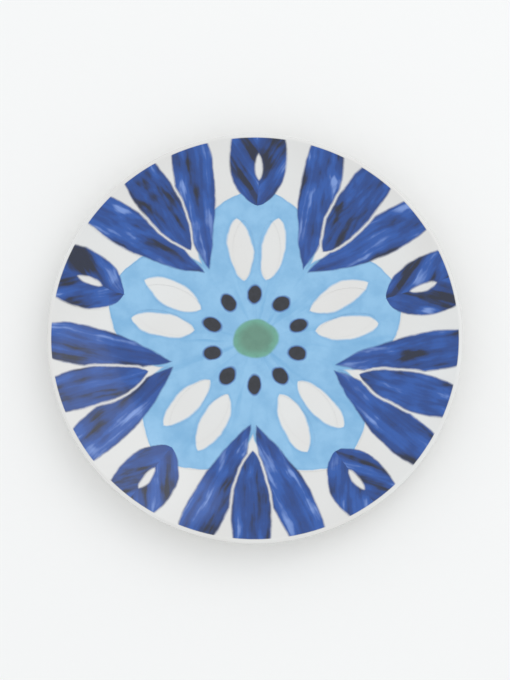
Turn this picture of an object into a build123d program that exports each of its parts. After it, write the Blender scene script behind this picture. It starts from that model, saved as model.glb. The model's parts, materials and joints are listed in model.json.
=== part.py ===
"""A glazed dinner plate with a brush-painted rosette, built up as the potter builds it.

The clay disc and its foot ring come first, then the glaze coats on the face and the back,
and last the pale wash and the brush strokes, which lie side by side on the face glaze.
Millimetres and degrees, +Z up, origin in the middle of the plane that the foot stands on.
"""

from build123d import *
import math
import os

# Driving dimensions of the pot.
plate_diameter = 280.0
plate_height = 26.0
clay_thickness = 4.6
lip_thickness = 3.2
well_flat_diameter = 130.0
foot_diameter = 168.0
foot_width = 6.0
foot_height = 5.0
foot_seat_depth = 0.8
foot_edge_round = 1.2
belly_start_gap = 3.0
glaze_thickness = 0.4
bare_foot_band = 1.6

# Driving dimensions of the painting.
paint_thickness = 0.15
unpainted_lip = 2.9
layout_turn = 17.0
fold = 5
centre_length = 31.0
centre_width = 26.0
seed_count = 10
seed_ring_radius = 31.0
seed_length = 12.5
seed_width = 9.2
wash_disc_radius = 60.0
petal_tip_radius = 104.0
petal_width = 80.0
window_inner_radius = 42.0
window_outer_radius = 83.0
window_width = 15.0
window_lean = 11.5
heart_base_radius = 76.0
heart_width = 27.0
side_base_radius = 58.0
side_spread = 15.5
side_width = 27.0
bud_base_radius = 94.0
bud_width = 40.0
bud_slit_start = 110.0
bud_slit_length = 17.0
bud_slit_width = 4.4
brush_gap = 1.6
stroke_overrun = 26.0
leaf_sharpness = 0.7
leaf_points = 10
smallest_patch = 2.5  # cubic mm: a scrap of wash left between strokes is not painted

# Sizes that follow from them.
plate_radius = plate_diameter / 2
clay_radius = plate_radius - glaze_thickness
lip_round = lip_thickness / 2
foot_outer = foot_diameter / 2
foot_inner = foot_outer - foot_width
clay_floor = foot_height + clay_thickness
painted_radius = plate_radius - unpainted_lip
sector = 360.0 / fold

# Centres of the arcs of the clay disc's section, as (radius, height).
lip_middle = (clay_radius - lip_round, plate_height - glaze_thickness - lip_round)
well_radius = well_flat_diameter / 2
face_run = lip_middle[0] - well_radius
face_rise = lip_middle[1] - clay_floor
face_radius = (face_run**2 + face_rise**2 - lip_round**2) / (2 * (face_rise + lip_round))
face_middle = (well_radius, clay_floor + face_radius)
belly_radius = foot_outer + belly_start_gap
back_run = lip_middle[0] - belly_radius
back_rise = lip_middle[1] - foot_height
back_radius = (back_run**2 + back_rise**2 - lip_round**2) / (2 * (back_rise - lip_round))
back_middle = (belly_radius, foot_height + back_radius)


def on_circle(middle, radius, angle):
    """A point of a circle in the section, at an angle from the outward direction."""
    turn = math.radians(angle)
    return (middle[0] + radius * math.cos(turn), middle[1] + radius * math.sin(turn))


def direction(start, end):
    """The angle of the line from one point of the section to another."""
    return math.degrees(math.atan2(end[1] - start[1], end[0] - start[0]))


def arc(middle, radius, start, end):
    """An arc of the section between two angles."""
    between = on_circle(middle, radius, (start + end) / 2)
    return ThreePointArc(on_circle(middle, radius, start), between, on_circle(middle, radius, end))


def face_curve(lift):
    """The face from the axis to the outermost point of the lip, raised square to the clay."""
    joint = direction(face_middle, lip_middle)
    level = clay_floor + lift
    return [
        Line((0, level), (well_radius, level)),
        arc(face_middle, face_radius - lift, -90, joint),
        arc(lip_middle, lip_round + lift, joint + 180, 0),
    ]


def back_curve(lift):
    """The back from the outermost point of the lip to the flat beside the foot."""
    joint = direction(back_middle, lip_middle)
    return [
        arc(lip_middle, lip_round + lift, 0, joint),
        arc(back_middle, back_radius + lift, joint, -90),
    ]


def turned(edges):
    """The solid turned from a closed half section."""
    return revolve(Plane.XZ * make_face(edges), Axis.Z)


def chain(*points):
    """Straight lines through the points in order."""
    return [Line(a, b) for a, b in zip(points, points[1:])]


def foot_ring():
    """The ring that is thrown apart and luted into a shallow groove under the disc."""
    top = foot_height + foot_seat_depth
    section = make_face(
        chain((foot_inner, 0), (foot_outer, 0), (foot_outer, top), (foot_inner, top), (foot_inner, 0))
    )
    ring = revolve(Plane.XZ * section, Axis.Z)
    return fillet(ring.edges().group_by(Axis.Z)[0], foot_edge_round)


def clay_body():
    """The thrown disc, with the groove that the foot ring sits in."""
    under = chain((belly_radius, foot_height), (0, foot_height), (0, clay_floor))
    disc = turned(face_curve(0) + back_curve(0) + under)
    top = foot_height + foot_seat_depth
    groove = turned(
        chain((foot_inner, 0), (foot_outer, 0), (foot_outer, top), (foot_inner, top), (foot_inner, 0))
    )
    return disc - groove


def face_glaze():
    """The white coat of the face, which ends at the outermost line of the lip."""
    lip_height = lip_middle[1]
    ends = chain((0, clay_floor), (0, clay_floor + glaze_thickness))
    ends += chain((clay_radius, lip_height), (clay_radius + glaze_thickness, lip_height))
    return turned(face_curve(0) + face_curve(glaze_thickness) + ends)


def back_glaze_outside():
    """The coat of the back from the lip down the foot's outer wall, short of the seat."""
    level = foot_height - glaze_thickness
    wall = foot_outer + glaze_thickness
    lip_height = lip_middle[1]
    edges = back_curve(0) + back_curve(glaze_thickness)
    edges += chain((clay_radius, lip_height), (clay_radius + glaze_thickness, lip_height))
    edges += chain(
        (belly_radius, foot_height), (foot_outer, foot_height), (foot_outer, bare_foot_band),
        (wall, bare_foot_band), (wall, level), (belly_radius, level),
    )
    return turned(edges)


def back_glaze_inside():
    """The coat inside the foot ring, down its inner wall and short of the seat."""
    level = foot_height - glaze_thickness
    wall = foot_inner - glaze_thickness
    return turned(
        chain(
            (0, level), (0, foot_height), (foot_inner, foot_height), (foot_inner, bare_foot_band),
            (wall, bare_foot_band), (wall, level), (0, level),
        )
    )


def paint_coat():
    """The thin coat on the face glaze that every painted piece is a part of."""
    low = glaze_thickness
    high = glaze_thickness + paint_thickness
    level = clay_floor
    ends = chain((0, level + low), (0, level + high))
    lip_height = lip_middle[1]
    ends += chain((clay_radius + low, lip_height), (clay_radius + high, lip_height))
    return turned(face_curve(low) + face_curve(high) + ends)


def polar(radius, angle):
    """A point of the painting, in the plan of the plate."""
    turn = math.radians(angle)
    return (radius * math.cos(turn), radius * math.sin(turn))


def leaf(base, tip, width, angle, tip_angle=None, fullness=0.5, sharpness=leaf_sharpness):
    """A leaf between two radii, fullest at a share of its length and blunter as sharpness falls."""
    start = Vector(*polar(base, angle))
    end = Vector(*polar(tip, angle if tip_angle is None else tip_angle))
    along = end - start
    side = Vector(-along.Y, along.X).normalized() * (width / 2)
    shift = math.log(0.5) / math.log(fullness)
    left, right = [], []
    for i in range(leaf_points + 1):
        share = (1 - math.cos(math.pi * i / leaf_points)) / 2
        bent = share**shift
        half = side * max(4 * bent * (1 - bent), 0) ** sharpness
        left.append(start + along * share + half)
        right.append(start + along * share - half)
    return make_face([Spline(*left), Spline(*right)])


def oval(length, width, radius, angle):
    """An oval spot whose length lies along the radius."""
    return Pos(*polar(radius, angle)) * Rot(0, 0, angle) * Ellipse(length / 2, width / 2)


edge_overrun = painted_radius + stroke_overrun


def heart(index, grow=0.0):
    """The middle leaf of a tulip, between two petals of the flower."""
    angle = layout_turn + sector * (index + 0.5)
    return leaf(heart_base_radius - grow, edge_overrun, heart_width + 2 * grow, angle, None, 0.52)


def tulip_side(index, hand):
    """A side leaf of a tulip, leaning away from its heart, clear of it by the brush gap."""
    angle = layout_turn + sector * (index + 0.5)
    lean = angle + hand * side_spread
    blade = leaf(side_base_radius, edge_overrun, side_width, angle + hand * 2.0, lean + hand * 2.0, 0.58)
    return blade - heart(index, brush_gap)


def bud(index):
    """The broad leaf at the tip of a petal, with a slit left bare in it."""
    angle = layout_turn + sector * index
    blade = leaf(bud_base_radius, edge_overrun, bud_width, angle, None, 0.45)
    return blade - leaf(bud_slit_start, bud_slit_start + bud_slit_length, bud_slit_width, angle)


def window(index, hand):
    """A leaf of bare glaze in a petal, beside its middle line."""
    angle = layout_turn + sector * index + hand * window_lean
    return leaf(window_inner_radius, window_outer_radius, window_width, angle, angle - hand * 5.0)


def seed(index):
    """A dark seed of the ring about the centre."""
    return oval(seed_length, seed_width, seed_ring_radius, layout_turn + 360.0 / seed_count * index)


def petal(index):
    """The outer part of a petal, outside the wash disc."""
    return leaf(0, petal_tip_radius, petal_width, layout_turn + sector * index, None, 0.62)


centre = Ellipse(centre_length / 2, centre_width / 2)
seeds = {f"seed_{i + 1}": seed(i) for i in range(seed_count)}
strokes = {}
for i in range(fold):
    strokes[f"tulip_{i + 1}_heart"] = heart(i)
    strokes[f"tulip_{i + 1}_left"] = tulip_side(i, 1)
    strokes[f"tulip_{i + 1}_right"] = tulip_side(i, -1)
    strokes[f"bud_{i + 1}"] = bud(i)

painted_disc = Circle(painted_radius)
bare = [centre] + list(seeds.values()) + list(strokes.values())
bare += [window(i, hand) for i in range(fold) for hand in (-1, 1)]
wash_disc = Circle(wash_disc_radius)

drawings = {"green_centre": centre}
drawings |= seeds
drawings |= {name: stroke & painted_disc for name, stroke in strokes.items()}
drawings["wash_disc"] = wash_disc - bare
for i in range(fold):
    laid_before = [petal(j) for j in range(i)]
    drawings[f"wash_petal_{i + 1}"] = petal(i) - ([wash_disc] + laid_before + bare)

pieces = {
    "clay_body": clay_body(),
    "foot_ring": foot_ring(),
    "face_glaze": face_glaze(),
    "back_glaze_outside_foot": back_glaze_outside(),
    "back_glaze_inside_foot": back_glaze_inside(),
}
coat = paint_coat()
for name, drawing in drawings.items():
    pieces[name] = extrude(drawing, plate_height * 2) & coat

os.makedirs("parts", exist_ok=True)
for name, piece in pieces.items():
    solids = [solid for solid in piece.solids() if solid.volume > smallest_patch]
    export_step(solids[0] if len(solids) == 1 else Compound(solids), f"parts/{name}.step")
    print(name, len(solids), round(sum(s.volume for s in solids), 1))
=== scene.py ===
"""The looks of a glazed dinner plate with a brush-painted rosette."""

import json
import math

import bmesh
import bpy
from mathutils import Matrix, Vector


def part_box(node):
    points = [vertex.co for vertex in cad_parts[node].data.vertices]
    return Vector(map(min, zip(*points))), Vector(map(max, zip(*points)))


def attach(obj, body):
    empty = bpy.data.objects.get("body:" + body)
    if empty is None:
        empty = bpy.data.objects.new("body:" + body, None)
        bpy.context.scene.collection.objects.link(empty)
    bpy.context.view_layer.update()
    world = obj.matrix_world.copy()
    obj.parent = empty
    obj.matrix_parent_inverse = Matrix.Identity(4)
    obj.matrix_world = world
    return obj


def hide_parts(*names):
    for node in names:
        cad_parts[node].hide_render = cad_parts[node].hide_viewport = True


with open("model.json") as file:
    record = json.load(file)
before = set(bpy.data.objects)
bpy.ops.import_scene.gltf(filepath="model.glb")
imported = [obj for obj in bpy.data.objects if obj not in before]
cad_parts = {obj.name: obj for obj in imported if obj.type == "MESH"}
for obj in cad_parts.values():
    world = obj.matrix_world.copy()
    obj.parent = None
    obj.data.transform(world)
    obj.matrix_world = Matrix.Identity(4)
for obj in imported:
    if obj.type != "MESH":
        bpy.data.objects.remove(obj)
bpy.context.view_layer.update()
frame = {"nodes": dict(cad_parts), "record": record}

# Sizes in millimetres, from the frame where it holds them.
MM = 0.001
face_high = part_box("face_glaze")[1]
clay_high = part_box("clay_body")[1]
plate_radius = face_high[0] / MM
plate_height = face_high[2] / MM
clay_radius = clay_high[0] / MM
glaze_coat = plate_radius - clay_radius
clay_floor = 9.6
lip_round = 1.6
well_radius = 65.0
painted_radius = 137.1
layout_turn = 17.0
sector = 72.0
glaze_below_paint = 0.08
leaf_sharpness = 0.7

# The painting's motifs, in millimetres and degrees, as the solids under them have them.
wash_disc_radius = 60.0
petal_tip_radius = 104.0
petal_width = 80.0
window_radii = (42.0, 85.0)
window_width = 16.5
window_lean = 11.5 * 0.8
heart_base_radius = 76.0
stroke_end_radius = 163.1
heart_width = 27.0
side_leaf_base = (57.96, 2.02)
side_leaf_lean = 25.7
side_leaf_length = 108.4
side_leaf_width = 27.0
brush_gap = 1.6
bud_base_radius = 94.0
bud_width = 40.0
slit_radii = (110.0, 127.0)
slit_width = 4.6
seed_ring_radius = 31.0
seed_half_size = (6.2, 4.6)
seed_step = 36.0
centre_half_size = (15.5, 13.0)


def srgb(code):
    """A scene-linear colour from a hexadecimal display colour."""
    parts = [int(code[i:i + 2], 16) / 255 for i in (1, 3, 5)]
    linear = [c / 12.92 if c <= 0.04045 else ((c + 0.055) / 1.055) ** 2.4 for c in parts]
    return (*linear, 1.0)


class Net:
    """A socket of a material's node tree, with arithmetic as operators."""

    tree = None

    def __init__(self, socket):
        self.socket = socket

    @classmethod
    def node(cls, kind, settings=None, **inputs):
        """Adds any node and returns it, with its inputs set or linked by name."""
        made = cls.tree.nodes.new(kind)
        for name, value in (settings or {}).items():
            setattr(made, name, value)
        for name, value in inputs.items():
            key = int(name[1:]) if name.startswith("_") else name.replace("_", " ")
            cls.put(made.inputs[key], value)
        return made

    @classmethod
    def put(cls, socket, value):
        """Links a wrapped socket to an input, or sets the input's value."""
        if isinstance(value, Net):
            cls.tree.links.new(value.socket, socket)
        else:
            socket.default_value = value

    @classmethod
    def maths(cls, operation, *values, clamp=False):
        made = cls.tree.nodes.new("ShaderNodeMath")
        made.operation = operation
        made.use_clamp = clamp
        for i, value in enumerate(values):
            cls.put(made.inputs[i], value)
        return Net(made.outputs[0])

    def __add__(self, other):
        return Net.maths("ADD", self, other)

    def __radd__(self, other):
        return Net.maths("ADD", other, self)

    def __sub__(self, other):
        return Net.maths("SUBTRACT", self, other)

    def __rsub__(self, other):
        return Net.maths("SUBTRACT", other, self)

    def __mul__(self, other):
        return Net.maths("MULTIPLY", self, other)

    def __rmul__(self, other):
        return Net.maths("MULTIPLY", other, self)

    def __truediv__(self, other):
        return Net.maths("DIVIDE", self, other)

    def __pow__(self, other):
        return Net.maths("POWER", self, other)


def vector(x, y, z=0.0):
    return Net(Net.node("ShaderNodeCombineXYZ", X=x, Y=y, Z=z).outputs[0])


def noise(at, scale, detail=2.0, roughness=0.5):
    """Noise from 0 to 1 about 0.5, at so many features per unit."""
    made = Net.node("ShaderNodeTexNoise", Vector=at, Scale=scale, Detail=detail, Roughness=roughness)
    return Net(made.outputs[0])


def fade(value, low, high):
    """Rises smoothly from 0 at low to 1 at high."""
    made = Net.node("ShaderNodeMapRange", {"interpolation_type": "SMOOTHSTEP"})
    for i, given in enumerate((value, low, high, 0.0, 1.0)):
        Net.put(made.inputs[i], given)
    return Net(made.outputs[0])


def blend(amount, under, over):
    """A colour between two, by an amount from 0 to 1."""
    made = Net.node("ShaderNodeMix", {"data_type": "RGBA"})
    for i, given in ((0, amount), (6, under), (7, over)):
        Net.put(made.inputs[i], given)
    return Net(made.outputs[2])


def most(*values):
    found = values[0]
    for value in values[1:]:
        found = Net.maths("MAXIMUM", found, value)
    return found


class Painting:
    """The painting's colour as a function of place, in millimetres on the plan."""

    def __init__(self):
        place = Net.node("ShaderNodeTexCoord").outputs["Object"]
        parts = Net.node("ShaderNodeSeparateXYZ", Vector=Net(place))
        x = Net(parts.outputs[0]) / MM
        y = Net(parts.outputs[1]) / MM
        self.flat = vector(x, y)
        self.true_radius = (x * x + y * y) ** 0.5
        sway_x = noise(vector(x, y, 11.0), 0.035, 2.0) - 0.5
        sway_y = noise(vector(x, y, 47.0), 0.035, 2.0) - 0.5
        shake_x = noise(vector(x, y, 83.0), 0.22, 3.0) - 0.5
        shake_y = noise(vector(x, y, 129.0), 0.22, 3.0) - 0.5
        self.x = x + sway_x * 6.0 + shake_x * 1.0
        self.y = y + sway_y * 6.0 + shake_y * 1.0
        self.radius = (self.x * self.x + self.y * self.y) ** 0.5
        self.angle = Net.maths("ARCTAN2", self.y, self.x) * (180 / math.pi)
        self.place_seed = noise(self.flat, 0.012, 0.0) * 6.0
        self.inside = fade(self.true_radius, painted_radius + 0.25, painted_radius - 0.25)

    def folded(self, turn, step):
        """The place in a frame that repeats round the plate: along the radius and across it."""
        away = Net.maths("FLOORED_MODULO", self.angle - turn + step / 2, step) - step / 2
        turned = away * (math.pi / 180)
        return self.radius * Net.maths("COSINE", turned), self.radius * Net.maths("SINE", turned)

    def leaf(self, along, across, base, tip, width, fullness):
        """How far inside a leaf's edge a place is, in millimetres."""
        share = Net.maths("ADD", (along - base) / (tip - base), 0.0, clamp=True)
        bent = share ** (math.log(0.5) / math.log(fullness))
        half = (bent * (1.0 - bent) * 4.0) ** leaf_sharpness * (width / 2)
        beyond = most(base - along, along - tip, 0.0)
        return half - (across * across + beyond * beyond) ** 0.5

    def streaks(self, along, across, seed):
        """Bristle marks that run along a stroke."""
        return noise(vector(along * 0.014, across * 0.15, seed + self.place_seed), 1.0, 2.5, 0.5)

    def colour(self):
        """The whole painting, laid in the painter's order."""
        xa, ya = self.folded(layout_turn, sector)
        xb, yb = self.folded(layout_turn + sector / 2, sector)
        edge = 1.0

        cloud = noise(self.flat, 0.012, 2.0)
        ground = blend(cloud, srgb("#dcd8d3"), srgb("#e9ecec"))

        petal = self.leaf(xa, ya, 0.0, petal_tip_radius, petal_width, 0.62)
        wash_in = most(wash_disc_radius - self.radius, petal)
        lean = math.radians(window_lean)
        side = Net.maths("ABSOLUTE", ya)
        wx = xa * math.cos(lean) + side * math.sin(lean)
        wy = side * math.cos(lean) - xa * math.sin(lean) - 1.0
        window = self.leaf(wx, wy, *window_radii, window_width, 0.5)
        wash = fade(wash_in, -edge, edge) * (1.0 - fade(window, -edge, edge))

        tone = noise(self.flat, 0.05, 4.0, 0.6)
        spread = noise(vector(self.angle * 0.09, self.radius * 0.02, 3.0), 1.0, 3.0)
        pale = blend(fade(tone, 0.35, 0.68), srgb("#90c3e8"), srgb("#80b6de"))
        pale = blend(fade(spread, 0.5, 0.75) * 0.6, pale, srgb("#66a6d4"))
        rim_of_wash = fade(wash_in, 3.4, 0.4) + fade(window, -3.0, -0.4) * 0.8
        pale = blend(Net.maths("MINIMUM", rim_of_wash, 1.0) * 0.3, pale, srgb("#5b9ccf"))
        paint = blend(wash * self.inside, ground, pale)

        heart = self.leaf(xb, yb, heart_base_radius, stroke_end_radius, heart_width, 0.52)
        lean = math.radians(side_leaf_lean)
        off = Net.maths("ABSOLUTE", yb)
        start_x, start_y = side_leaf_base
        sx = (xb - start_x) * math.cos(lean) + (off - start_y) * math.sin(lean)
        sy = (off - start_y) * math.cos(lean) - (xb - start_x) * math.sin(lean)
        side_leaf = self.leaf(sx, sy, 0.0, side_leaf_length, side_leaf_width, 0.58)
        side_leaf = Net.maths("MINIMUM", side_leaf, -1.0 * heart - brush_gap)
        bud = self.leaf(xa, ya, bud_base_radius, stroke_end_radius, bud_width, 0.45)
        slit = self.leaf(xa, ya, *slit_radii, slit_width, 0.5)
        bud = Net.maths("MINIMUM", bud, -1.0 * slit - 0.2)
        cobalt_in = most(heart, side_leaf, bud)
        cover = fade(cobalt_in, -edge, edge)

        on_side = fade(side_leaf, -0.2, 0.2)
        along = blend(on_side, vector(xb, yb, 1.0), vector(sx, sy, 9.0))
        split = Net.node("ShaderNodeSeparateXYZ", Vector=along)
        marks = self.streaks(Net(split.outputs[0]), Net(split.outputs[1]), Net(split.outputs[2]))
        pools = noise(self.flat, 0.045, 3.0)
        load = marks * 0.66 + pools * 0.34
        blue = blend(fade(load, 0.36, 0.47), srgb("#0c1934"), srgb("#0a418c"))
        blue = blend(fade(load, 0.47, 0.56), blue, srgb("#1a54a8"))
        blue = blend(fade(load, 0.56, 0.66), blue, srgb("#7797d8"))
        blue = blend(fade(cobalt_in, 2.4, 0.2) * 0.3, blue, srgb("#1b3a78"))
        blue = blend(wash * 0.25, blue, srgb("#1d3f86"))
        paint = blend(cover * self.inside, paint, blue)

        tx, ty = self.folded(layout_turn, seed_step)
        seed_along = (tx - seed_ring_radius) / seed_half_size[0]
        seed_across = Net.maths("ABSOLUTE", ty) / seed_half_size[1]
        seed = 1.0 - (seed_along ** 2.0 + seed_across ** 2.0)
        paint = blend(fade(seed, -0.62, 0.05) * 0.8, paint, srgb("#2b4f9a"))
        dark = blend(noise(self.flat, 0.3), srgb("#0d1017"), srgb("#2a2e3a"))
        paint = blend(fade(seed, -0.12, 0.22), paint, dark)

        centre_x, centre_y = self.x / centre_half_size[0], self.y / centre_half_size[1]
        middle = 1.0 - (centre_x ** 2.0 + centre_y ** 2.0)
        green = blend(fade(middle, 0.1, 0.8), srgb("#6aa893"), srgb("#638f7c"))
        green = blend(fade(noise(self.flat, 0.16, 3.0), 0.4, 0.7) * 0.35, green, srgb("#56806f"))
        paint = blend(fade(middle, -0.16, 0.14), paint, green)
        return paint, self.inside * most(cover, wash * 0.4), load


def material(name):
    """A fresh material and its Principled shader, with the net building in its tree."""
    made = bpy.data.materials.new(name)
    made.use_nodes = True
    Net.tree = made.node_tree
    return made, made.node_tree.nodes["Principled BSDF"]


def ripple(shader, strength, *heights):
    """A shallow unevenness of the surface."""
    total = heights[0]
    for height in heights[1:]:
        total = total + height
    bump = Net.node("ShaderNodeBump", Strength=strength, Distance=0.0004, Height=total)
    Net.put(shader.inputs["Normal"], Net(bump.outputs[0]))


def painted_glaze(name, roughness):
    """Glossy glaze that carries the painting."""
    made, shader = material(name)
    painting = Painting()
    colour, cover, load = painting.colour()
    Net.put(shader.inputs["Base Color"], colour)
    Net.put(shader.inputs["Roughness"], roughness + load * 0.10)
    shader.inputs["Coat Weight"].default_value = 0.3
    shader.inputs["Coat Roughness"].default_value = 0.06
    wave = noise(painting.flat, 0.06, 2.0)
    grain = noise(painting.flat, 0.6, 3.0)
    ripple(shader, 0.35, wave, grain * 0.08, cover * 0.10)
    return made


def white_glaze(name):
    """Plain white glaze with faint clouds and a few iron specks."""
    made, shader = material(name)
    place = Net(Net.node("ShaderNodeTexCoord").outputs["Object"])
    cloud = noise(place, 14.0, 3.0)
    specks = fade(noise(place, 700.0, 1.0), 0.76, 0.82)
    colour = blend(cloud, srgb("#d9d5ce"), srgb("#e8e9e7"))
    Net.put(shader.inputs["Base Color"], blend(specks * 0.5, colour, srgb("#8a7a68")))
    Net.put(shader.inputs["Roughness"], 0.14 + cloud * 0.08)
    shader.inputs["Coat Weight"].default_value = 0.3
    shader.inputs["Coat Roughness"].default_value = 0.06
    ripple(shader, 0.3, noise(place, 60.0, 2.0))
    return made


def biscuit(name):
    """Unglazed fired clay, turned on the wheel."""
    made, shader = material(name)
    place = Net(Net.node("ShaderNodeTexCoord").outputs["Object"])
    parts = Net.node("ShaderNodeSeparateXYZ", Vector=place)
    x, y = Net(parts.outputs[0]), Net(parts.outputs[1])
    rings = noise(vector((x * x + y * y) ** 0.5 * 900.0, 0.0), 1.0, 2.0)
    grit = noise(place, 900.0, 3.0)
    Net.put(shader.inputs["Base Color"], blend(grit, srgb("#c9b49a"), srgb("#e2d3bf")))
    Net.put(shader.inputs["Roughness"], 0.78 + grit * 0.15)
    ripple(shader, 0.5, rings, grit)
    return made


def face_profile(lift):
    """The half section of the face from its middle to the lip's outermost point."""
    lip = (clay_radius - lip_round, plate_height - glaze_coat - lip_round)
    run, rise = lip[0] - well_radius, lip[1] - clay_floor
    bend = (run**2 + rise**2 - lip_round**2) / (2 * (rise + lip_round))
    middle = (well_radius, clay_floor + bend)
    joint = math.atan2(lip[1] - middle[1], lip[0] - middle[0])
    points = [(well_radius * i / 12, clay_floor + lift) for i in range(12)]
    for i in range(41):
        turn = -math.pi / 2 + (joint + math.pi / 2) * i / 40
        reach = bend - lift
        points.append((middle[0] + reach * math.cos(turn), middle[1] + reach * math.sin(turn)))
    for i in range(1, 17):
        turn = (joint + math.pi) * (1 - i / 16)
        reach = lip_round + lift
        points.append((lip[0] + reach * math.cos(turn), lip[1] + reach * math.sin(turn)))
    return points


def lathe(name, points, segments=288):
    """A closed skin turned about the plate's axis from a half section."""
    mesh = bmesh.new()
    line = [mesh.verts.new((r * MM, 0, z * MM)) for r, z in points]
    edges = [mesh.edges.new(pair) for pair in zip(line, line[1:])]
    bmesh.ops.spin(
        mesh, geom=line + edges, cent=(0, 0, 0), axis=(0, 0, 1), angle=math.tau,
        steps=segments, use_merge=True, use_duplicate=False,
    )
    bmesh.ops.remove_doubles(mesh, verts=mesh.verts, dist=1e-7)
    bmesh.ops.recalc_face_normals(mesh, faces=mesh.faces)
    data = bpy.data.meshes.new(name)
    mesh.to_mesh(data)
    mesh.free()
    data.shade_smooth()
    made = bpy.data.objects.new(name, data)
    bpy.context.scene.collection.objects.link(made)
    return made


painted = {
    "glaze": painted_glaze("painted_face_glaze", 0.12),
    "pale_blue_paint": painted_glaze("pale_blue_wash", 0.13),
    "cobalt_paint": painted_glaze("cobalt_strokes", 0.11),
    "dark_paint": painted_glaze("dark_seeds", 0.10),
    "green_paint": painted_glaze("green_centre", 0.14),
}
back_white = white_glaze("white_back_glaze")
bare_clay = biscuit("bare_clay")

top = face_profile(glaze_coat - glaze_below_paint)
bottom = face_profile(0.02)
face = lathe("glazed_face", top + bottom[::-1])
face.data.materials.append(painted["glaze"])
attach(face, "root")
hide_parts("face_glaze")

slots = {part["node"]: part["material_slot"] for part in frame["record"]["subparts"]}
for node, thing in frame["nodes"].items():
    if slots[node] == "clay":
        chosen = bare_clay
    elif slots[node] == "glaze":
        chosen = back_white
    else:
        chosen = painted[slots[node]]
    for material_slot in thing.material_slots:
        material_slot.material = chosen

# Floor, backdrop and light.
bpy.ops.mesh.primitive_plane_add(size=6.0, location=(0, 0, 0))
floor = bpy.context.object
floor.name = "floor"
floor_material, floor_shader = material("pale_floor")
floor_shader.inputs["Base Color"].default_value = (0.93, 0.93, 0.92, 1)
floor_shader.inputs["Roughness"].default_value = 0.9
floor_shader.inputs["Specular IOR Level"].default_value = 0.0
floor.data.materials.append(floor_material)

world = bpy.data.worlds.new("studio")
bpy.context.scene.world = world
world.use_nodes = True
sky = world.node_tree.nodes["Background"]
sky.inputs["Color"].default_value = (0.97, 0.985, 1.0, 1)
sky.inputs["Strength"].default_value = 0.95

lamp_data = bpy.data.lights.new("softbox", "AREA")
lamp_data.shape = "DISK"
lamp_data.size = 1.6
lamp_data.energy = 4.6
lamp = bpy.data.objects.new("softbox", lamp_data)
lamp.location = (0.9, 1.0, 1.6)
lamp.rotation_euler = (Vector((0, 0, 0)) - lamp.location).to_track_quat("-Z", "Y").to_euler()
bpy.context.scene.collection.objects.link(lamp)

# Camera, looking down on the plate from a little way in front of straight above.
elevation = math.radians(80.3)
distance = 1.6
aim = Vector((0, -0.0018, plate_height * MM * 0.7))
camera_data = bpy.data.cameras.new("camera")
camera_data.sensor_fit = "HORIZONTAL"
camera_data.angle = 2 * math.atan(plate_radius * MM * 1.231 / distance)
camera = bpy.data.objects.new("camera", camera_data)
camera.location = aim + Vector((0, -math.cos(elevation), math.sin(elevation))) * distance
camera.rotation_euler = (aim - camera.location).to_track_quat("-Z", "Y").to_euler()
bpy.context.scene.collection.objects.link(camera)
bpy.context.scene.camera = camera
bpy.context.scene.view_settings.view_transform = "Standard"
